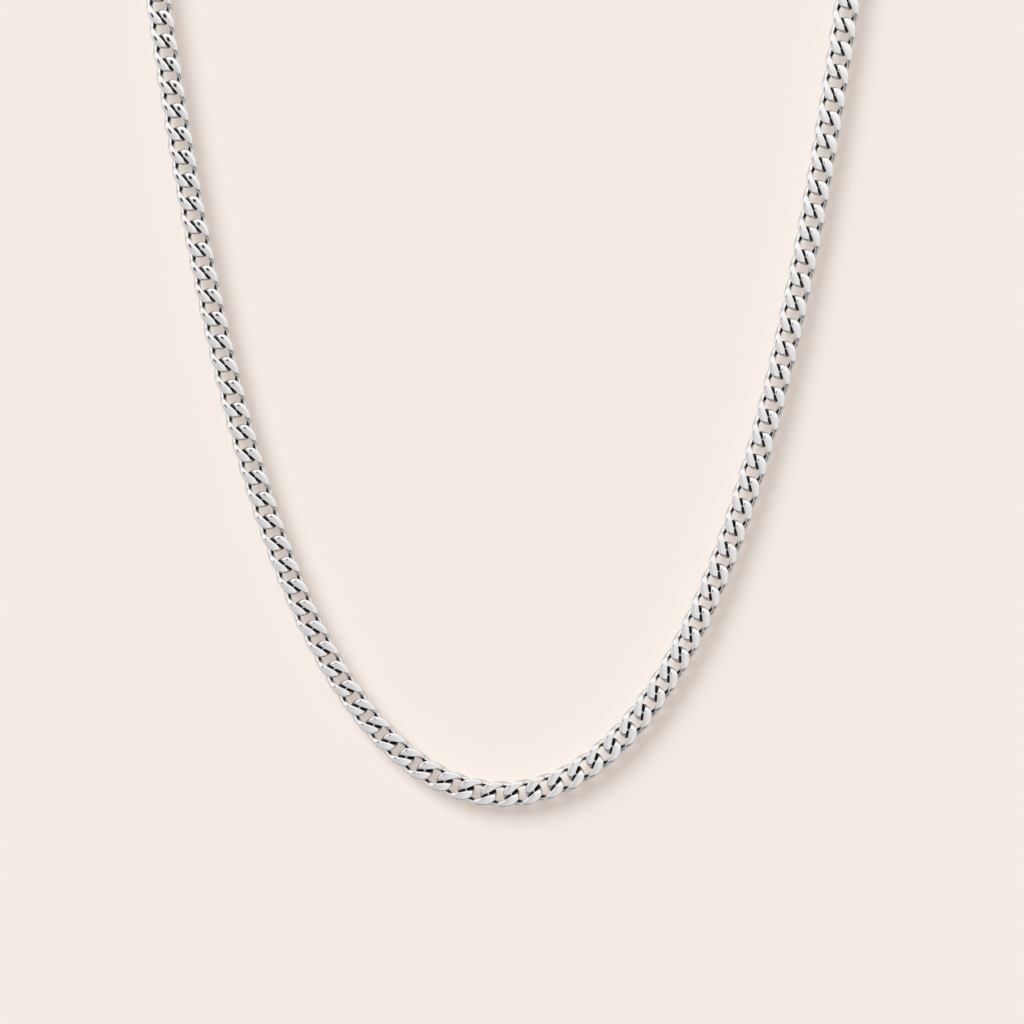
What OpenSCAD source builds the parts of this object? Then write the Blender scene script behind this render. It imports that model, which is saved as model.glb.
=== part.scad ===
// Curb link necklace, hanging round a neck.
// Every link is one closed ring of wire: an oval, twisted so that its two long
// sides lie one above the other at the ends, then pressed flat front and back.
// Each link passes through the one before it. A plain box clasp closes the loop
// at the nape. X runs to the wearer's left, Y to the back, Z up, in millimetres.
// The origin is where the inner face of the clasp rests on the nape.

/* [Necklace] */

// Length of the whole loop, clasp included
chain_length = 550; // [500:10:600]
// Bend radius of the hanging curve at its lowest point
bend_radius = 20; // [16:0.5:26]
// How far the front hangs ahead of the nape
neck_depth = 80; // [70:1:90]
// How far the chain drops from the nape to where the front starts to hang straight
neck_drop = 42; // [35:1:50]
// How far the middle joint has slipped to one side of the lowest point
slip = 1.25; // [-1.5:0.05:1.5]

/* [Links] */

// Width of the chain, seen from the front
link_width = 4; // [3.8:0.05:4.2]
// Outer length of one link
link_length = 6.2; // [6.14:0.02:6.3]
// Thickness of the chain after pressing
pressed_thickness = 1.8; // [1.7:0.05:2]
// Thickness of the wire along the long sides of a link
side_wire = 1; // [0.9:0.02:1.05]
// Thickness of the wire at the ends of a link, where the press spreads it
end_wire = 1.16; // [1.1:0.02:1.2]
// Height of the wire, front to back, before pressing
wire_height = 1.04; // [0.9:0.02:1.1]
// How far the twist lifts the wire above the middle of the link
twist_lift = 0.78; // [0.74:0.01:0.85]
// How much the highest point leans to the ends of the link
lift_lean = 5; // [0:1:10]
// Spacing of the links at the lowest point, where they slide together
low_pitch = 3.5; // [3.45:0.01:3.6]
// Spacing of the links where the weight of the chain pulls them apart
high_pitch = 3.62; // [3.6:0.01:3.64]

/* [Clasp] */

// Length of the box of the clasp
clasp_box_length = 8.8; // [8:0.2:10]
// Height of the box of the clasp, across the chain
clasp_box_width = 4.6; // [4.4:0.1:5]
// Thickness of the box of the clasp
clasp_box_thickness = 2.6; // [2.4:0.1:3]
// Radius of the upright corners of the box
clasp_corner = 0.7; // [0.4:0.1:1]

/* [Hidden] */

// Which sub-part is drawn, or all of them together

silver = [0.86, 0.86, 0.87];

// A link is drawn as this many cross sections of its wire, each with this many sides.
rings = 10;
wire_sides = 5;
half = chain_length / 2;
// The middle of the chain at the nape stands off the skin by half the clasp.
nape_y = clasp_box_thickness / 2;

// The hanging curve. The length along it is counted from the lowest point.
function asinh(u) = ln(u + sqrt(u * u + 1));
function hang_x(q) = bend_radius * asinh(q / bend_radius);
function hang_z(q) = bend_radius * (sqrt(1 + pow(q / bend_radius, 2)) - 1);
function hang_dir(q) = [bend_radius, 0, q] / sqrt(bend_radius * bend_radius + q * q);

// The curve from the top of the hanging front, over the shoulder and round to the nape.
// These are how far the curve runs on straight, more or less, from each of its two ends.
shoulder_pull = 38;
nape_pull = 48;
function shoulder(f) = [hang_x(f), nape_y - neck_depth, -neck_drop];
function round_points(f) = [
  shoulder(f),
  shoulder(f) + shoulder_pull * hang_dir(f),
  [nape_pull, nape_y, 0],
  [0, nape_y, 0]
];
function curve(c, u) =
  pow(1 - u, 3) * c[0] + 3 * pow(1 - u, 2) * u * c[1]
  + 3 * (1 - u) * u * u * c[2] + pow(u, 3) * c[3];
function curve_dir(c, u) =
  let (
    d = pow(1 - u, 2) * (c[1] - c[0]) + 2 * (1 - u) * u * (c[2] - c[1])
      + u * u * (c[3] - c[2])
  )
  d / norm(d);
// The length along that curve, added up in short steps.
steps = 96;
function lengths(c) = [
  for (i = 0, far = 0; i <= steps;
    far = far + norm(curve(c, (i + 1) / steps) - curve(c, i / steps)), i = i + 1)
    [far, i / steps]
];
function round_length(f) = lengths(round_points(f))[steps][0];
// The front takes whatever length the way round the neck leaves over, found by repeated trial.
function settle(f, n) = n == 0 ? f : settle(f + 0.8 * (half - f - round_length(f)), n - 1);
front = settle(0.55 * half, 12);
round_curve = round_points(front);
round_lengths = lengths(round_curve);
low_z = -neck_drop - hang_z(front);

// One place on the right half of the loop: where, which way it runs, which way it faces.
function facing(dir, out) = let (n = out - (out * dir) * dir) n / norm(n);
function front_place(q) = [
  [hang_x(q), nape_y - neck_depth, low_z + hang_z(q)],
  hang_dir(q),
  [0, -1, 0]
];
function round_place(q) =
  let (
    u = lookup(q - front, round_lengths),
    dir = curve_dir(round_curve, u),
    turn = 180 * u - 90
  )
  [curve(round_curve, u), dir, facing(dir, [cos(turn), sin(turn), 0])];
function right_place(q) = q <= front ? front_place(q) : round_place(q);
// The left half mirrors the right one, and the chain runs down it.
function flip_x(v) = [-v[0], v[1], v[2]];
function back_x(v) = [v[0], -v[1], -v[2]];
function wrapped(s) = s > half ? s - chain_length : s < -half ? s + chain_length : s;
function place(s0) =
  let (s = wrapped(s0), p = right_place(abs(s)))
  s >= 0 ? p : [flip_x(p[0]), back_x(p[1]), flip_x(p[2])];
// A point of a link, [along, across, out], set at a place of the loop.
function set_at(p, v) = p[0] + v[0] * p[1] + v[1] * cross(p[2], p[1]) + v[2] * p[2];

// Where the links sit, counted from the middle joint, the same on both sides.
// Over this length from the middle joint the spacing grows from the low to the high one.
pull_length = 110;
function pitch(q) =
  let (t = min(1, q / pull_length))
  low_pitch + (high_pitch - low_pitch) * t * t * (3 - 2 * t);
front_links = [for (q = low_pitch / 2; q < front; q = q + pitch(q)) q];
last_front = front_links[len(front_links) - 1];
// The cut ends of the clasp's loops lie this deep inside its box.
loop_sunk = 0.2;
loop_reach = clasp_box_length / 2 - loop_sunk;
// The links that lie round the neck share what is left in equal steps.
rest = half - loop_reach - last_front;
rest_steps = ceil(rest / high_pitch);
link_places = concat(
  front_links,
  [for (i = [1 : rest_steps - 1]) last_front + i * rest / rest_steps]
);

// The middle line of a link's wire: an oval, lifted at one end of each long side.
half_run = (link_length - end_wire) / 2;
// The sections stand 18 degrees to each side of the oval's widest point, so the oval is
// drawn that much wider.
half_rise = (link_width - side_wire) / 2 / cos(180 / rings);
function lean(a) = a + lift_lean * sin(2 * a);
function wire_line(a) = [half_run * cos(a), half_rise * sin(a), -twist_lift * sin(2 * lean(a))];
function wire_dir(a) = let (d = wire_line(a + 0.1) - wire_line(a - 0.1)) d / norm(d);
function wire_width(a) = side_wire + (end_wire - side_wire) * pow(cos(a), 2);
// The press stops at the two flat faces.
function pressed(v) =
  [v[0], v[1], max(-pressed_thickness / 2, min(pressed_thickness / 2, v[2]))];
// One point of the wire's surface. A flat side of the section faces front, and its two
// side corners are set to the full width of the wire.
function wire_point(a, k) =
  let (
    side = 90 - 180 / wire_sides + 360 / wire_sides * k,
    dir = wire_dir(a),
    out = facing(dir, [cos(a) / half_run, sin(a) / half_rise, 0])
  )
  pressed(
    wire_line(a)
    + wire_width(a) / 2 / cos(90 / wire_sides) * cos(side) * out
    + wire_height / 2 * sin(side) * cross(dir, out)
  );
link_shape = [
  for (i = [0 : rings - 1]) for (k = [0 : wire_sides - 1]) wire_point(360 / rings * i, k)
];

// The triangles of one closed link, whose points start at a given number.
function link_skin(first) = [
  for (i = [0 : rings - 1]) for (k = [0 : wire_sides - 1])
    let (
      a = first + i * wire_sides + k,
      b = first + i * wire_sides + (k + 1) % wire_sides,
      c = first + (i + 1) % rings * wire_sides + (k + 1) % wire_sides,
      d = first + (i + 1) % rings * wire_sides + k
    )
    each [[a, c, b], [a, d, c]]
];

// A run of links, given their places on the loop.
module links(places) {
  polyhedron(
    points = [for (s = places) let (p = place(s)) for (v = link_shape) set_at(p, v)],
    faces = [for (n = [0 : len(places) - 1]) each link_skin(n * rings * wire_sides)]
  );
}

// The links on the wearer's right, from the middle joint up and round to the clasp.
module chain_left() {
  color(silver) links([for (q = link_places) slip - q]);
}

// The links on the wearer's left, from the middle joint up and round to the clasp.
module chain_right() {
  color(silver) links([for (q = link_places) slip + q]);
}

// An end loop of the clasp: the outer half of a link, its cut ends closed off inside the box.
module clasp_loop(s, turns) {
  p = place(s);
  count = len(turns);
  polyhedron(
    points = [for (a = turns) for (k = [0 : wire_sides - 1]) set_at(p, wire_point(a, k))],
    faces = concat(
      [
        for (i = [0 : count - 2]) for (k = [0 : wire_sides - 1])
          let (
            a = i * wire_sides + k,
            b = i * wire_sides + (k + 1) % wire_sides
          )
          each [[a, b + wire_sides, b], [a, a + wire_sides, b + wire_sides]]
      ],
      [for (k = [1 : wire_sides - 2]) [0, k, k + 1]],
      [for (k = [1 : wire_sides - 2]) [0, k + 1, k] + (count - 1) * wire_sides * [1, 1, 1]]
    )
  );
}

// The box of the clasp, with its upright corners rounded.
module clasp_box() {
  long = clasp_box_length - 2 * clasp_corner;
  tall = clasp_box_width - 2 * clasp_corner;
  translate([-clasp_box_length / 2, -tall / 2, -clasp_box_thickness / 2])
    cube([clasp_box_length, tall, clasp_box_thickness]);
  translate([-long / 2, -clasp_box_width / 2, -clasp_box_thickness / 2])
    cube([long, clasp_box_width, clasp_box_thickness]);
  for (x = [-1, 1]) for (y = [-1, 1])
    translate([x * long / 2, y * tall / 2, -clasp_box_thickness / 2])
      cylinder(r = clasp_corner, h = clasp_box_thickness, $fn = 32);
}

// The clasp, a box laid across the nape, with a loop at each end that follows the chain.
half_turn = [-90, -72, -36, 0, 36, 72, 90];
module clasp() {
  p = place(half + slip);
  up = cross(p[2], p[1]);
  color(silver) {
    multmatrix([
      [p[1][0], up[0], p[2][0], p[0][0]],
      [p[1][1], up[1], p[2][1], p[0][1]],
      [p[1][2], up[2], p[2][2], p[0][2]],
      [0, 0, 0, 1]
    ])
      clasp_box();
    clasp_loop(half + slip - loop_reach, [for (a = half_turn) a + 180]);
    clasp_loop(half + slip + loop_reach, half_turn);
  }
}

chain_left();
chain_right();
clasp();
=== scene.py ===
# %% [markdown]
# # A curb link necklace in polished silver
# The frame of this lesson is a CAD model: 150 coarse links that hang in a loop from the
# nape, and a plain clasp. It fixes every size and place. Here each link gets the round
# wire, the soft pressed faces and the polish of the real chain, exactly where the frame
# has it, and then a pale wall and soft light to show it.

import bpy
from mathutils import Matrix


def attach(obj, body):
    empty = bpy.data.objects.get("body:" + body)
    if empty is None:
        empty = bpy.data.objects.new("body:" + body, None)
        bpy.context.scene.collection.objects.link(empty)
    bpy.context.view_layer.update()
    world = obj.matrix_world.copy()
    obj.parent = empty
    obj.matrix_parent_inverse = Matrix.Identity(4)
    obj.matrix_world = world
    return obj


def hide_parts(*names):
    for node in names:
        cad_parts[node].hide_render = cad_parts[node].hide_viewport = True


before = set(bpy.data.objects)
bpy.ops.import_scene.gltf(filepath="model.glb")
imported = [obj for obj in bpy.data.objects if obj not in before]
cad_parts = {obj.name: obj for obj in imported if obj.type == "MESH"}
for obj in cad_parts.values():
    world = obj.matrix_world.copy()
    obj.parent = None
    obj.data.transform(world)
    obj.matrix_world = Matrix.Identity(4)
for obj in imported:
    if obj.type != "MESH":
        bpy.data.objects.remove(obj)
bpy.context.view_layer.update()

# %% Units
import math

import bmesh
import bpy
import numpy as np
from mathutils import Matrix, Vector
from mathutils.bvhtree import BVHTree

# Every size below is in millimetres, as in the frame's source. Blender works in metres.
MM = 0.001


def to_linear(code):
    """A colour such as #F4ECE4, as the linear red, green, blue and alpha that nodes use."""
    parts = [int(code[i : i + 2], 16) / 255 for i in (1, 3, 5)]
    return [p / 12.92 if p <= 0.04045 else ((p + 0.055) / 1.055) ** 2.4 for p in parts] + [1]


# %% [markdown]
# ## The curve of the chain
# A chain has no stiffness, so the front of a necklace hangs in a catenary. That is a
# formula, and a formula is easier to trust than a curve drawn by eye: with it, any point of
# the chain is found from its distance along the loop, and the links can be set at their
# real spacing. Over the shoulders the chain follows one smooth Bezier curve to the nape.
# These are the same sizes and the same formulas as in the frame.

# %% The hanging front
CHAIN_LENGTH = 550
HALF = CHAIN_LENGTH / 2
BEND_RADIUS = 20


# At a distance q along the chain from its lowest point: how far to the side it is, how much
# higher, and which way it runs.
def hang_x(q):
    return BEND_RADIUS * math.asinh(q / BEND_RADIUS)


def hang_z(q):
    return BEND_RADIUS * (math.hypot(1, q / BEND_RADIUS) - 1)


def hang_dir(q):
    return Vector((BEND_RADIUS, 0, q)).normalized()


print("100 mm along from its lowest point, the chain is", round(hang_z(100), 1), "mm higher")

# %% The way round the neck
# How far the front hangs ahead of the nape, and how far below it the front begins.
NECK_DEPTH = 80
NECK_DROP = 42
# The middle of the chain stands off the nape by half the clasp.
NAPE_Y = 1.3
# How far the curve runs on straight, more or less, from each of its two ends.
SHOULDER_PULL = 38
NAPE_PULL = 48
CURVE_STEPS = 96


def round_points(front):
    """The four points of the curve from the top of the hanging front to the nape."""
    shoulder = Vector((hang_x(front), NAPE_Y - NECK_DEPTH, -NECK_DROP))
    return (
        shoulder,
        shoulder + SHOULDER_PULL * hang_dir(front),
        Vector((NAPE_PULL, NAPE_Y, 0)),
        Vector((0, NAPE_Y, 0)),
    )


def curve_point(c, u):
    v = 1 - u
    return v**3 * c[0] + 3 * v * v * u * c[1] + 3 * v * u * u * c[2] + u**3 * c[3]


def curve_dir(c, u):
    v = 1 - u
    way = v * v * (c[1] - c[0]) + 2 * v * u * (c[2] - c[1]) + u * u * (c[3] - c[2])
    return way.normalized()


def round_lengths(front):
    """How far along the curve each of its steps lies."""
    points = [curve_point(round_points(front), i / CURVE_STEPS) for i in range(CURVE_STEPS + 1)]
    steps = [(b - a).length for a, b in zip(points, points[1:])]
    return np.concatenate([[0], np.cumsum(steps)])


# %% How long the front is
# The front takes whatever length the way round the neck leaves over. That is found by
# trial: a first guess, as a share of the half loop, moves by a share of what is left.
FIRST_GUESS = 0.55
TRIALS = 12
TRIAL_SHARE = 0.8

front = FIRST_GUESS * HALF
for trial in range(TRIALS):
    front += TRIAL_SHARE * (HALF - front - round_lengths(front)[-1])
ROUND_CURVE = round_points(front)
ROUND_LENGTHS = round_lengths(front)
LOW_Z = -NECK_DROP - hang_z(front)
print("half of the front:", round(front, 2), "mm, lowest point at", round(LOW_Z, 2), "mm")

# %% A place on the loop
MIRROR = Matrix.Scale(-1, 3, (1, 0, 0))


def square_to(guide, way):
    """The part of a guide direction that is square to the way along."""
    return (guide - guide.dot(way) * way).normalized()


def place(s):
    """The place at a distance along the loop, as a matrix for a link made flat at the origin.
    Its X runs along the chain, its Y to the inner side of the curve, its Z to the viewer."""
    s = (s + HALF) % CHAIN_LENGTH - HALF
    q = abs(s)
    if q <= front:
        point = Vector((hang_x(q), NAPE_Y - NECK_DEPTH, LOW_Z + hang_z(q)))
        along, out = hang_dir(q), Vector((0, -1, 0))
    else:
        u = float(np.interp(q - front, ROUND_LENGTHS, np.linspace(0, 1, CURVE_STEPS + 1)))
        turn = math.pi * (u - 0.5)
        point, along = curve_point(ROUND_CURVE, u), curve_dir(ROUND_CURVE, u)
        out = square_to(Vector((math.cos(turn), math.sin(turn), 0)), along)
    if s < 0:
        point, along, out = MIRROR @ point, -(MIRROR @ along), MIRROR @ out
    axes = Matrix((along, out.cross(along), out)).transposed()
    return Matrix.Translation(point * MM) @ axes.to_4x4()


print("the middle of the nape, in metres:", [round(x, 4) for x in place(HALF).translation])

# %% Where the links sit
# The two runs of links meet this far to one side of the lowest point.
SLIP = 1.25
# The spacing of the links, at the lowest point and from the pull length on.
LOW_PITCH = 3.5
HIGH_PITCH = 3.62
PULL_LENGTH = 110
CLASP_LENGTH = 8.8
# The cut ends of the clasp's loops lie this deep inside its box.
LOOP_SUNK = 0.2
LOOP_REACH = CLASP_LENGTH / 2 - LOOP_SUNK


def pitch(q):
    """The step to the next link. It grows smoothly, as the weight below it does."""
    t = min(1, q / PULL_LENGTH)
    return LOW_PITCH + (HIGH_PITCH - LOW_PITCH) * t * t * (3 - 2 * t)


front_links = [LOW_PITCH / 2]
while front_links[-1] + pitch(front_links[-1]) < front:
    front_links.append(front_links[-1] + pitch(front_links[-1]))
neck_length = HALF - LOOP_REACH - front_links[-1]
neck_steps = math.ceil(neck_length / HIGH_PITCH)
neck_links = [front_links[-1] + i * neck_length / neck_steps for i in range(1, neck_steps)]
print("links a side:", len(front_links), "in front and", len(neck_links), "round the neck")

# %% [markdown]
# ## One link
# A curb link starts as a ring of round wire. The chain maker stretches it to an oval,
# twists it so that its two long sides cross over at the ends, and passes the finished
# chain under a press, which leaves a flat leaf on the front and on the back of every link.
# The bmesh here follows the same steps: a circle is spun to a ring, which is already a
# closed tube with even faces, and its points are then moved to the oval, twisted, and
# pressed. A curve with a bevel would give the tube as well, but not the wire that swells
# at the ends, and a cut with a plane would leave an edge that is sharper than a pressed one.
# The link is a tenth of a millimetre shorter than the frame's. With that the links hang
# against each other, as they do under the weight of a chain, and still don't cut into
# each other.

# %% The ring of wire
LINK_LENGTH = 6.1
LINK_WIDTH = 4
# The wire across its long sides, across the ends, where the press swells it, and front to back.
SIDE_WIRE = 1.02
END_WIRE = 1.23
WIRE_HEIGHT = 1.12
# Only the angles of the first ring are used, so its two radii can be any.
RING_RADIUS = 2
TUBE_RADIUS = 0.5
# How many steps the ring has, and how many sides its wire. The leaves are mirrors, and with
# fewer faces their highlights break up.
RING_STEPS = 64
WIRE_SIDES = 20


def ring_of_wire():
    """A closed ring of round wire, flat in the XY plane."""
    bm = bmesh.new()
    stand = Matrix.Translation((RING_RADIUS, 0, 0)) @ Matrix.Rotation(math.pi / 2, 4, "X")
    bmesh.ops.create_circle(bm, segments=WIRE_SIDES, radius=TUBE_RADIUS, matrix=stand)
    bmesh.ops.spin(
        bm,
        geom=bm.verts[:] + bm.edges[:],
        cent=(0, 0, 0),
        axis=(0, 0, 1),
        angle=2 * math.pi,
        steps=RING_STEPS,
        use_merge=True,
    )
    bmesh.ops.recalc_face_normals(bm, faces=bm.faces)
    return bm


link = ring_of_wire()
print("the ring:", len(link.faces), "faces, closed:", all(e.is_manifold for e in link.edges))

# %% Stretch and twist
HALF_RUN = (LINK_LENGTH - END_WIRE) / 2
HALF_RISE = (LINK_WIDTH - SIDE_WIRE) / 2
# The twist lifts the wire by this much, and the higher the flatness, the longer it stays up.
TWIST_LIFT = 0.72
LIFT_FLAT = 0.9


def wire_line(a):
    """The middle of the wire, at an angle round the link."""
    turn = math.sin(2 * a)
    lift = -TWIST_LIFT * turn * (1 + LIFT_FLAT) / (1 + LIFT_FLAT * abs(turn))
    return Vector((HALF_RUN * math.cos(a), HALF_RISE * math.sin(a), lift))


round_top = TWIST_LIFT + WIRE_HEIGHT / 2
print("before the press, the wire reaches", round(round_top, 2), "mm to the front and the back")

# %% Press
# The press stops at this height. It rounds the edge of the leaf over a soft band, and the
# polishing wheel leaves the leaf a little crowned.
PRESS_HEIGHT = 0.805
PRESS_SOFT = 0.18
CROWN = 0.2


def pressed(z):
    """A height after the press: untouched at first, then bent over a soft band, then crowned."""
    h = abs(z)
    start, end = PRESS_HEIGHT - PRESS_SOFT, PRESS_HEIGHT + PRESS_SOFT
    if h > start:
        bent = min(h, end) - start
        h_bent = start + bent - (1 - CROWN) * bent * bent / (4 * PRESS_SOFT)
        h = h_bent + CROWN * max(0, h - end)
    return math.copysign(h, z)


print("after the press, it reaches", round(pressed(round_top), 2), "mm")

# %% Spread the leaves
# The pressed metal flows to the inner side of the link by up to this much. The higher the
# first power, the nearer the flow stays to the middle of the leaf. The lower the second,
# the more of the inner side it takes along.
SPREAD = 0.62
SPREAD_FROM_TOP = 1.6
SPREAD_INWARD = 0.6
# The flow stops where it would meet the leaf of the next link, so that a straight, slanting
# gap is left between the two. The gap has its full width from this height on, and it opens
# over this stretch of the link.
GAP = 0.3
GAP_TURN = math.radians(29)
GAP_FULL_HEIGHT = 0.5
GAP_START, GAP_FULL = 1, 1.4


def spread(a, around):
    """How far a point of the wire flows inwards."""
    under_press = max(0, -math.sin(2 * a) * math.sin(around))
    return SPREAD * under_press**SPREAD_FROM_TOP * max(0, -math.cos(around)) ** SPREAD_INWARD


def beside_next(p):
    """A point of a link, moved back to its own side of the gap to the next link."""
    side = math.copysign(1, p.x * p.z)
    across = Vector((-math.sin(GAP_TURN), math.cos(GAP_TURN)))
    over = across.dot((abs(p.x) - HIGH_PITCH / 2, side * p.y)) + GAP / 2
    near_end = min(1, max(0, abs(p.x) - GAP_START) / (GAP_FULL - GAP_START))
    push = max(0, over) * min(1, abs(p.z) / GAP_FULL_HEIGHT) ** 2 * near_end
    x = math.copysign(abs(p.x) - push * across.x, p.x)
    return Vector((x, p.y - side * push * across.y, p.z))


# %% Make the link
# The wire's direction is measured over this angle, to each side of a point.
SMALL_TURN = 0.002


def press_link(bm):
    """Moves the points of the ring to the oval, twists it and presses it."""
    for v in bm.verts:
        a = math.atan2(v.co.y, v.co.x)
        around = math.atan2(v.co.z, math.hypot(v.co.x, v.co.y) - RING_RADIUS)
        along = (wire_line(a + SMALL_TURN) - wire_line(a - SMALL_TURN)).normalized()
        out = square_to(Vector((math.cos(a) / HALF_RUN, math.sin(a) / HALF_RISE, 0)), along)
        width = SIDE_WIRE + (END_WIRE - SIDE_WIRE) * math.cos(a) ** 2
        v.co = (
            wire_line(a)
            + (width / 2 * math.cos(around) - spread(a, around)) * out
            + WIRE_HEIGHT / 2 * math.sin(around) * out.cross(along)
        )
        v.co.z = pressed(v.co.z)
        v.co = beside_next(v.co)


press_link(link)
volume = link.calc_volume(signed=True)
span = [max(v.co[k] for v in link.verts) - min(v.co[k] for v in link.verts) for k in range(3)]
print("one link:", len(link.faces), "faces,", [round(x, 2) for x in span], "mm")
print("silver in one link:", round(volume, 2), "mm3")

# %% [markdown]
# ## Painted shade in the wedges
# The wedge where one link passes under the next lies deep in shade and mirrors little but dark. That
# shade is painted into the finish as a dark, duller film. The finish could look for such places
# itself, with an ambient occlusion node, but a model viewer doesn't know that node. So how far each
# point of a link is hidden by its neighbours is measured here with rays, once, and kept in the mesh
# as an attribute.

# %% Measure how hidden each point is
RAYS = 64
RAY_LENGTH = 2
# A ray starts this far off the surface, or it would hit the face that it leaves.
RAY_START = 0.01


def even_directions(count):
    """Directions spread evenly over a whole ball."""
    golden = math.pi * (3 - math.sqrt(5))
    for i in range(count):
        z = 1 - (2 * i + 1) / count
        r = math.sqrt(1 - z * z)
        yield Vector((r * math.cos(golden * i), r * math.sin(golden * i), z))


def shifted(bm, distance):
    """A tree of the link's faces, moved along the chain."""
    copy = bm.copy()
    bmesh.ops.translate(copy, verts=copy.verts, vec=(distance, 0, 0))
    tree = BVHTree.FromBMesh(copy)
    copy.free()
    return tree


def measure_recess(bm):
    """Gives each point the share of the light from all round that the links nearby block."""
    recess = bm.verts.layers.float.new("recess")
    trees = [shifted(bm, n * HIGH_PITCH) for n in (-2, -1, 0, 1, 2)]
    rays = list(even_directions(RAYS))
    bm.normal_update()
    for v in bm.verts:
        start = v.co + RAY_START * v.normal
        open_rays = [d for d in rays if d.dot(v.normal) > 0]
        weight = sum(d.dot(v.normal) for d in open_rays)
        hit = sum(
            d.dot(v.normal)
            for d in open_rays
            if any(tree.ray_cast(start, d, RAY_LENGTH)[0] for tree in trees)
        )
        v[recess] = hit / weight
    return [v[recess] for v in bm.verts]


hidden = measure_recess(link)
print("hidden share: mean", round(sum(hidden) / len(hidden), 2), "most", round(max(hidden), 2))

# %% [markdown]
# ## Does the chain move?
# Links that are interlocked have play between them, or the chain would be a rod. Before 150
# copies are made, the one link is laid beside itself at the two spacings that the chain has.
# The least distance has to be above zero, and no face may cut into the next link.

# %% Measure the play between two links
for name, pitch_now in {"low": LOW_PITCH, "high": HIGH_PITCH}.items():
    near_tree = shifted(link, pitch_now)
    play = min(near_tree.find_nearest(v.co)[3] for v in link.verts)
    cuts = len(near_tree.overlap(BVHTree.FromBMesh(link)))
    print(f"{name} pitch: {play:.3f} mm between two links, {cuts} faces cut into the next one")

# %% [markdown]
# ## The chain
# The same link is set down at every place of the loop. Linked copies would be lighter, but
# an export wants real meshes, so the links are joined into four pieces, front and neck on
# each side. Each is small enough to be written out whole.

# %% Join the links
link_mesh = bpy.data.meshes.new("link")
bmesh.ops.scale(link, vec=(MM, MM, MM), verts=link.verts)
link.to_mesh(link_mesh)

# Faces above a square millimetre are flats on the real thing. The smaller ones form rounds.
FLAT_AREA = 1 * MM * MM


def add_object(name, bm, material):
    """A finished piece at the origin, with smooth rounds and flat flats."""
    mesh = bpy.data.meshes.new(name)
    bm.to_mesh(mesh)
    bm.free()
    for face in mesh.polygons:
        face.use_smooth = face.area < FLAT_AREA
    mesh.materials.append(material)
    obj = bpy.data.objects.new(name, mesh)
    bpy.context.scene.collection.objects.link(obj)
    return obj


def run_of_links(name, places, material):
    """A copy of the link at each of the places, joined into one piece."""
    bm = bmesh.new()
    for s in places:
        one = link_mesh.copy()
        one.transform(place(s))
        bm.from_mesh(one)
        bpy.data.meshes.remove(one)
    triangles = 2 * len(bm.faces)
    print(name, len(places), "links,", triangles, "triangles")
    return add_object(name, bm, material)


# %% [markdown]
# ## Polished silver
# The real metal is sterling silver. The links are polished on a wheel with fine rouge, and
# the clasp, a small part that fingers hold, is taken here to be rubbed satin with a fine
# pad. Clean silver sends back nearly all light of every colour, so its colour is almost
# white, and what the eye reads as its shade is the room that it mirrors. One function makes
# both finishes, because they are one metal: only the size, the direction and the depth of
# the marks differ.

# %% Nodes
def add_node(tree, kind, inputs=None, **settings):
    """A node with its settings. An input is a value, or the output socket that feeds it."""
    node = tree.nodes.new(kind)
    for key, value in settings.items():
        setattr(node, key, value)
    for key, value in (inputs or {}).items():
        if isinstance(value, bpy.types.NodeSocket):
            tree.links.new(value, node.inputs[key])
        else:
            node.inputs[key].default_value = value
    return node


def new_material(name):
    """A material with a bare shader, its node tree and that shader."""
    material = bpy.data.materials.new(name)
    material.use_nodes = True
    return material, material.node_tree, material.node_tree.nodes["Principled BSDF"]


# %% Two finishes of one silver
SILVER = to_linear("#F1F1F2")
# Painted shade: the dark colour that stands for the shade deep in the wedges between links.
PAINTED_SHADE = to_linear("#2C2A29")
# The painted shade starts where this share of the room is hidden, and is whole at the second share.
SHADE_START, SHADE_WHOLE = 0.35, 0.6
# What the painted shade adds to the roughness, and how much of the grain's depth is drawn.
SHADE_ROUGH = 0.2
GRAIN_DRAWN = 0.2


def silver_finish(name, grain, drawn_out, rough, depth):
    """Silver with a fine grain of a given size and depth in mm, drawn out along X if asked.
    The grain makes the gloss uneven. A point that is hidden gets painted shade: a dark, duller film."""
    material, tree, shader = new_material(name)
    place_of = add_node(tree, "ShaderNodeTexCoord").outputs["Object"]
    scaled = add_node(tree, "ShaderNodeMapping", {"Vector": place_of, "Scale": (1 / drawn_out, 1, 1)})
    noise = {"Vector": scaled.outputs[0], "Scale": 1 / (grain * MM), "Detail": 1}
    lines = add_node(tree, "ShaderNodeTexNoise", noise).outputs["Fac"]
    recess = add_node(tree, "ShaderNodeAttribute", attribute_name="recess").outputs["Fac"]
    # Painted shade: the more a point is hidden, the darker and duller it is painted.
    shade_range = {"Value": recess, "From Min": SHADE_START, "From Max": SHADE_WHOLE}
    painted_shade = add_node(tree, "ShaderNodeMapRange", shade_range, interpolation_type="SMOOTHSTEP").outputs[0]
    # Inputs 6 and 7 of a mix of colours are the two colours.
    colour = add_node(tree, "ShaderNodeMix", {0: painted_shade, 6: SILVER, 7: PAINTED_SHADE}, data_type="RGBA")
    uneven = {"Value": lines, "To Min": rough[0], "To Max": rough[1]}
    gloss = add_node(tree, "ShaderNodeMapRange", uneven)
    duller = {0: painted_shade, 1: SHADE_ROUGH, 2: gloss.outputs[0]}
    roughness = add_node(tree, "ShaderNodeMath", duller, operation="MULTIPLY_ADD")
    marks = {"Height": lines, "Strength": GRAIN_DRAWN, "Distance": depth * MM}
    bump = add_node(tree, "ShaderNodeBump", marks)
    shader.inputs["Metallic"].default_value = 1
    tree.links.new(colour.outputs[2], shader.inputs["Base Color"])
    tree.links.new(roughness.outputs[0], shader.inputs["Roughness"])
    tree.links.new(bump.outputs[0], shader.inputs["Normal"])
    return material


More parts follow.
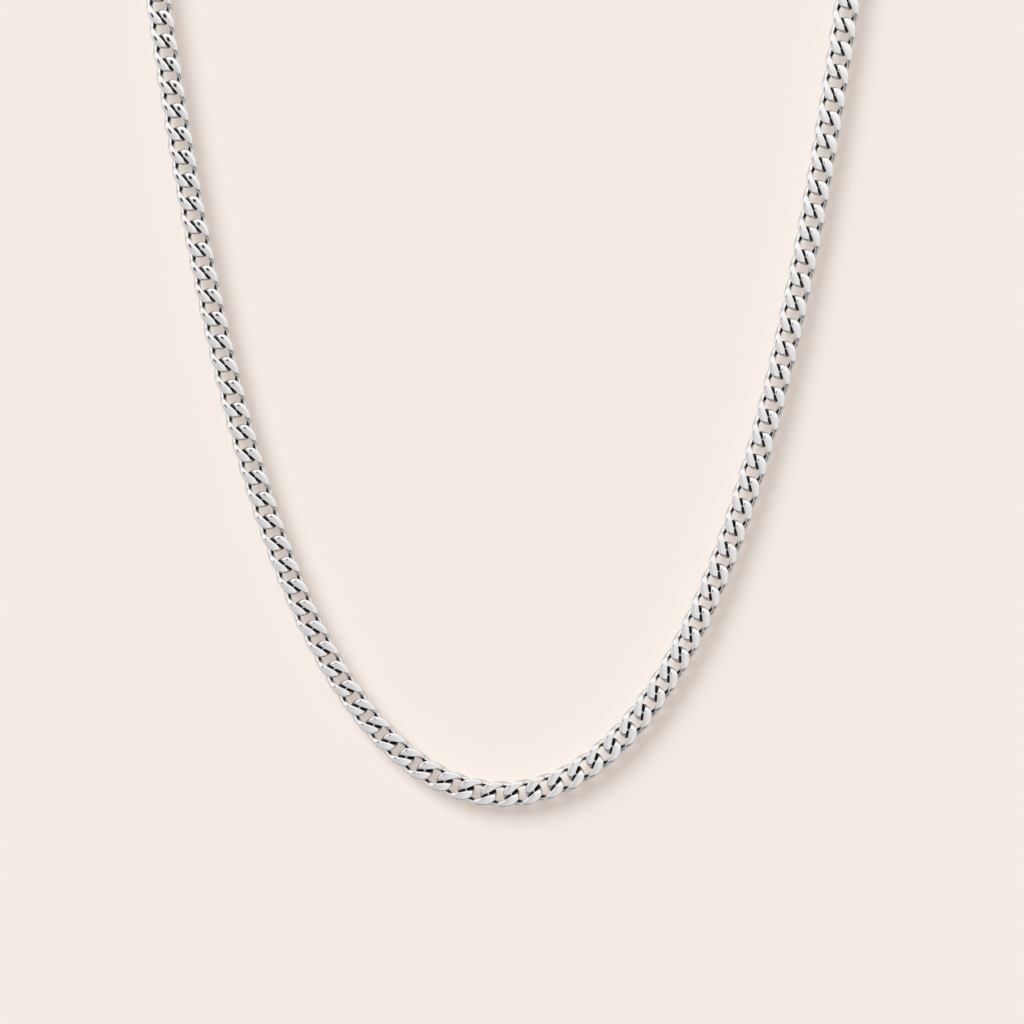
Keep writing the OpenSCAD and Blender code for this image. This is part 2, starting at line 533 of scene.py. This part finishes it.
# Polished on a wheel: to the eye a clear mirror, a little uneven over half a millimetre.
polished = silver_finish("polished_silver", grain=0.5, drawn_out=1, rough=(0.04, 0.1), depth=0.02)
# Rubbed along with a fine pad: to the eye a soft sheen with short lines in it. The real ones
# are a few hundredths of a millimetre apart, and are drawn coarser, so that a close view
# shows them.
satin = silver_finish("satin_silver", grain=0.12, drawn_out=33, rough=(0.14, 0.34), depth=0.025)
print("finishes:", polished.name, "and", satin.name)

# %% [markdown]
# ## The links in their places
# With the metal ready, the links can be set down. Each side of the chain is one node of the
# frame, and two runs of links stand for it. They ride on the only body of the frame: the
# necklace keeps the form in which it hangs.

# %% Set the links down
SIDES = {"chain_left": -1, "chain_right": 1}
for node_name, side in SIDES.items():
    for stretch, links in {"front": front_links, "neck": neck_links}.items():
        places = [SLIP + side * q for q in links]
        run = run_of_links(f"{node_name}_{stretch}", places, polished)
        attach(run, "root")
        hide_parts(node_name)

# %% [markdown]
# ## The clasp
# The two ends meet at the nape in a box clasp: a small hollow box, soldered from sheet,
# with a half link at each end that holds the last link of the chain. The end cap carries a
# tongue that snaps into the box, so a fine seam runs round the box where the cap meets it.
# The seam is cut with two planes, and the band between them is sunk. That keeps the box in
# one piece, and the seam follows the rounded corners by itself.

# %% The seam of the clasp
CLASP_WIDTH = 4.6
CLASP_THICKNESS = 2.6
SEAM_X = 2.9
SEAM_WIDTH = 0.12
SEAM_DEPTH = 0.14


def sink_seam(bm):
    """A groove round the box, between two planes across it, with painted shade on its floor."""
    recess = bm.verts.layers.float.new("recess")
    for x in (SEAM_X - SEAM_WIDTH / 2, SEAM_X + SEAM_WIDTH / 2):
        whole = bm.verts[:] + bm.edges[:] + bm.faces[:]
        bmesh.ops.bisect_plane(bm, geom=whole, plane_co=(x, 0, 0), plane_no=(1, 0, 0))
    band = [f for f in bm.faces if abs(f.calc_center_median().x - SEAM_X) < SEAM_WIDTH / 2]
    sunk = bmesh.ops.extrude_face_region(bm, geom=band)["geom"]
    bmesh.ops.delete(bm, geom=band, context="FACES")
    shrink = [1 - 2 * SEAM_DEPTH / size for size in (CLASP_WIDTH, CLASP_THICKNESS)]
    floor = [v for v in sunk if isinstance(v, bmesh.types.BMVert)]
    bmesh.ops.scale(bm, vec=(1, *shrink), verts=floor)
    # The floor of the seam is marked as wholly hidden, so the finish paints it in full shade.
    for v in floor:
        v[recess] = 1
    bmesh.ops.recalc_face_normals(bm, faces=bm.faces)
    print("faces in the seam:", len(band), "closed:", all(e.is_manifold for e in bm.edges))


# %% The box of the clasp
CLASP_CORNER = 0.7
CLASP_EDGE = 0.25
# Two heights that differ by less than this are the same height.
LEVEL = 0.01


def clasp_box():
    """The box with its upright corners rounded, its rims broken and its seam sunk."""
    bm = bmesh.new()
    bmesh.ops.create_cube(bm, size=1)
    bmesh.ops.scale(bm, vec=(CLASP_LENGTH, CLASP_WIDTH, CLASP_THICKNESS), verts=bm.verts)
    upright = [e for e in bm.edges if abs(e.verts[0].co.z - e.verts[1].co.z) > LEVEL]
    bmesh.ops.bevel(
        bm, geom=upright, offset=CLASP_CORNER, segments=6, profile=0.5, affect="EDGES", material=-1
    )
    rims = [e for e in bm.edges if abs(e.verts[0].co.z - e.verts[1].co.z) < LEVEL]
    bmesh.ops.bevel(
        bm, geom=rims, offset=CLASP_EDGE, segments=4, profile=0.5, affect="EDGES", material=-1
    )
    sink_seam(bm)
    return bm


# %% The half links at its ends
def half_link(side):
    """The outer half of a link, cut off square and closed."""
    bm = bmesh.new()
    bm.from_mesh(link_mesh)
    bmesh.ops.scale(bm, vec=(1 / MM, 1 / MM, 1 / MM), verts=bm.verts)
    bmesh.ops.bisect_plane(
        bm,
        geom=bm.verts[:] + bm.edges[:] + bm.faces[:],
        plane_co=(0, 0, 0),
        plane_no=(side, 0, 0),
        clear_inner=True,
    )
    bmesh.ops.holes_fill(bm, edges=[e for e in bm.edges if e.is_boundary])
    return bm


def add_at(target, part, s):
    """Adds a part made in millimetres at the origin to another, at its place on the loop."""
    bmesh.ops.scale(part, vec=(MM, MM, MM), verts=part.verts)
    mesh = bpy.data.meshes.new("part")
    part.to_mesh(mesh)
    part.free()
    mesh.transform(place(s))
    target.from_mesh(mesh)
    bpy.data.meshes.remove(mesh)


# %% Put the clasp together
clasp_bm = bmesh.new()
add_at(clasp_bm, clasp_box(), HALF + SLIP)
add_at(clasp_bm, half_link(-1), HALF + SLIP - LOOP_REACH)
add_at(clasp_bm, half_link(1), HALF + SLIP + LOOP_REACH)
print("the clasp:", len(clasp_bm.faces), "faces")
clasp = add_object("box_clasp", clasp_bm, satin)
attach(clasp, "root")
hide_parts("clasp")

# %% [markdown]
# ## The wall
# The necklace hangs just in front of a pale, matt wall, and the soft edge of its shadow
# tells the eye how near. The wall's top is below the height where the chain turns back to
# the neck. Its paint is one colour. The metal sees it through a second, slightly darker shader,
# because a photographer's wall gets less light out of the picture than in it. From behind,
# the wall isn't there at all, so that the back of the necklace can be looked at.

# %% The wall behind the chain
FRONT_Y = NAPE_Y - NECK_DEPTH
# From the middle of the chain to the wall.
WALL_GAP = 2.3
WALL_TOP = -46
WALL_SIZE = 700


def wall_material():
    """Matt emulsion paint: to the eye one even tone without gloss. From behind it is clear."""
    material, tree, shader = new_material("matt_wall_paint")
    shader.inputs["Base Color"].default_value = to_linear("#F2EBE5")
    shader.inputs["Roughness"].default_value = 0.9
    shader.inputs["Specular IOR Level"].default_value = 0.1
    in_metal = add_node(tree, "ShaderNodeBsdfDiffuse", {"Color": to_linear("#D8D3CC")})
    mirrored = add_node(tree, "ShaderNodeLightPath").outputs["Is Glossy Ray"]
    seen = {0: mirrored, 1: shader.outputs[0], 2: in_metal.outputs[0]}
    paint = add_node(tree, "ShaderNodeMixShader", seen)
    clear = add_node(tree, "ShaderNodeBsdfTransparent")
    back = add_node(tree, "ShaderNodeNewGeometry").outputs["Backfacing"]
    both = add_node(tree, "ShaderNodeMixShader", {0: back, 1: paint.outputs[0], 2: clear.outputs[0]})
    tree.links.new(both.outputs[0], tree.nodes["Material Output"].inputs["Surface"])
    return material


wall_bm = bmesh.new()
bmesh.ops.create_grid(
    wall_bm,
    x_segments=1,
    y_segments=1,
    size=WALL_SIZE / 2 * MM,
    matrix=Matrix.Translation(Vector((0, FRONT_Y + WALL_GAP, WALL_TOP - WALL_SIZE / 2)) * MM)
    @ Matrix.Rotation(math.pi / 2, 4, "X"),
)
wall = add_object("wall", wall_bm, wall_material())
print("wall normal:", tuple(round(x, 2) for x in wall.data.polygons[0].normal))

# %% [markdown]
# ## Lights for the wall, cards for the metal
# Matt paint and a mirror want different things of a light. The wall only wants an even
# brightness and one soft shadow, so two distant lights, which the metal doesn't see, light
# it: one from the upper left with a shadow, and one from above without. The mirror wants
# something to show, so cards stand out of view that nothing but the metal sees. In front
# there are a bright card, which gives the leaves a highlight, and a dark one, which makes
# the small dark mark at their heads. Two tall black flags stand behind, and draw the dark
# lines that the back of the necklace shows.

# %% Where lights and cards stand
# They all face this point, in the middle of the hanging front.
AIM = Vector((0, FRONT_Y, -110)) * MM


def toward(turn, off):
    """A direction from the chain: turn 0 is right and 90 up in the picture, off is the angle
    away from the viewer."""
    t, o = math.radians(turn), math.radians(off)
    return Vector((math.sin(o) * math.cos(t), -math.cos(o), math.sin(o) * math.sin(t)))


def aim_at_chain(obj, turn, off, distance):
    """Stands a light or a card at a distance from the chain and turns it to face it."""
    way = toward(turn, off)
    obj.location = AIM + way * distance * MM
    obj.rotation_mode = "QUATERNION"
    obj.rotation_quaternion = way.to_track_quat("Z", "Y")
    bpy.context.scene.collection.objects.link(obj)


# %% The lights
LIGHT_DISTANCE = 1000


def wall_light(name, turn, off, width, strength, colour, shadow):
    """A distant round light that is some degrees wide, so that it is even over the wall."""
    light = bpy.data.lights.new(name, "SUN")
    light.angle = math.radians(width)
    light.energy = strength
    light.color = to_linear(colour)[:3]
    light.use_shadow = shadow
    obj = bpy.data.objects.new(name, light)
    obj.visible_glossy = False
    aim_at_chain(obj, turn, off, LIGHT_DISTANCE)
    print(name, "is", width, "degrees wide, shadow:", shadow)


wall_light("key_light", turn=133, off=50, width=36, strength=1.9, colour="#F4FDFF", shadow=True)
wall_light("fill_light", turn=90, off=20, width=45, strength=1.735, colour="#FFF7F3", shadow=False)

# %% The cards
def card(name, turn, off, distance, wide, high, brightness):
    """A card that only the metal sees, black or lit."""
    bm = bmesh.new()
    bmesh.ops.create_grid(bm, x_segments=1, y_segments=1, size=0.5)
    bmesh.ops.scale(bm, vec=(wide * MM, high * MM, 1), verts=bm.verts)
    mesh = bpy.data.meshes.new(name)
    bm.to_mesh(mesh)
    bm.free()
    material, tree, shader = new_material(name)
    shader.inputs["Base Color"].default_value = (0, 0, 0, 1)
    shader.inputs["Specular IOR Level"].default_value = 0
    shader.inputs["Emission Color"].default_value = (1, 1, 1, 1)
    shader.inputs["Emission Strength"].default_value = brightness
    mesh.materials.append(material)
    obj = bpy.data.objects.new(name, mesh)
    obj.visible_camera = obj.visible_diffuse = obj.visible_shadow = False
    aim_at_chain(obj, turn, off, distance)


card("bright_card", turn=120, off=62, distance=400, wide=260, high=120, brightness=1.35)
# This one is far away, so that every link sees it in the same direction.
card("dark_card", turn=140, off=13.5, distance=3000, wide=400, high=400, brightness=0)
for side_name, turn in {"left": 180, "right": 0}.items():
    flag = f"black_flag_back_{side_name}"
    card(flag, turn=turn, off=125, distance=400, wide=160, high=900, brightness=0)

# %% [markdown]
# ## The room
# Everything that isn't a card is the room, and the metal mirrors it as well. An even room
# makes metal look like grey plastic, so this one is graded: a little darker to the left, a
# bright band overhead and a dim floor. The grades are soft, because the links are all
# curved, and a hard edge in the room would draw a hard line on each of them. The wall gets
# only a little light from the room, and the camera sees one plain pale colour.

# %% The world
ROOM_LEFT, ROOM_RIGHT, ROOM_ABOVE, ROOM_FLOOR = 0.7, 0.86, 1.04, 0.22
ROOM_ON_WALL = 0.13

world = bpy.data.worlds.new("studio")
world.use_nodes = True
bpy.context.scene.world = world
background = world.node_tree.nodes["Background"]
tree = world.node_tree
direction = add_node(tree, "ShaderNodeTexCoord").outputs["Generated"]
axes = add_node(tree, "ShaderNodeSeparateXYZ", {0: direction})


def grade(axis, start, end, low=0, high=1):
    """A soft change of brightness over a range of directions."""
    settings = {"Value": axes.outputs[axis], "From Min": start, "From Max": end}
    settings.update({"To Min": low, "To Max": high})
    return add_node(tree, "ShaderNodeMapRange", settings, interpolation_type="SMOOTHSTEP").outputs[0]


# The ranges are parts of a direction of length 1, so 0.22 up is about 13 degrees. Inputs 0,
# 2 and 3 of a mix are its factor and its two values.
sides = grade("X", -0.1, 0.1, ROOM_LEFT, ROOM_RIGHT)
overhead = {0: grade("Z", 0.02, 0.22), 2: sides, 3: ROOM_ABOVE}
upper = add_node(tree, "ShaderNodeMix", overhead)
downward = {0: grade("Z", -0.4, -0.85), 2: upper.outputs[0], 3: ROOM_FLOOR}
whole = add_node(tree, "ShaderNodeMix", downward)
background.inputs["Color"].default_value = to_linear("#FFFDFB")
tree.links.new(whole.outputs[0], background.inputs["Strength"])

# %% What the wall and the camera see of the world
path = add_node(tree, "ShaderNodeLightPath")
little_light = {"Color": to_linear("#FFFFFF"), "Strength": ROOM_ON_WALL}
faint = add_node(tree, "ShaderNodeBackground", little_light)
pale = add_node(tree, "ShaderNodeBackground", {"Color": to_linear("#F4ECE4"), "Strength": 1})
by_wall = {0: path.outputs["Diffuse Depth"], 1: background.outputs[0], 2: faint.outputs[0]}
lit = add_node(tree, "ShaderNodeMixShader", by_wall)
by_camera = {0: path.outputs["Is Camera Ray"], 1: lit.outputs[0], 2: pale.outputs[0]}
room = add_node(tree, "ShaderNodeMixShader", by_camera)
tree.links.new(room.outputs[0], tree.nodes["World Output"].inputs["Surface"])
print("nodes in the world:", len(tree.nodes))

# %% [markdown]
# ## The camera
# The picture looks straight at the wall and shows a square of 157.5 mm. A long lens from two
# thirds of a metre away keeps the links the same width from top to bottom. A little of the
# chain lies outside the picture, where it turns to the shoulders.

# %% Set the camera
PICTURE_WIDTH = 157.5
PICTURE_X = 1.37
PICTURE_Z = -130.4
LENS = 150
SENSOR = 36

camera_data = bpy.data.cameras.new("camera")
camera_data.lens = LENS
camera_data.sensor_width = SENSOR
camera = bpy.data.objects.new("camera", camera_data)
distance = PICTURE_WIDTH * LENS / SENSOR
camera.location = Vector((PICTURE_X, FRONT_Y - distance, PICTURE_Z)) * MM
camera.rotation_euler = (math.pi / 2, 0, 0)
camera_data.clip_start, camera_data.clip_end = 0.01, 10
bpy.context.scene.collection.objects.link(camera)
bpy.context.scene.camera = camera
bpy.context.scene.view_settings.view_transform = "Standard"
print("the camera stands", round(distance), "mm in front of the chain")
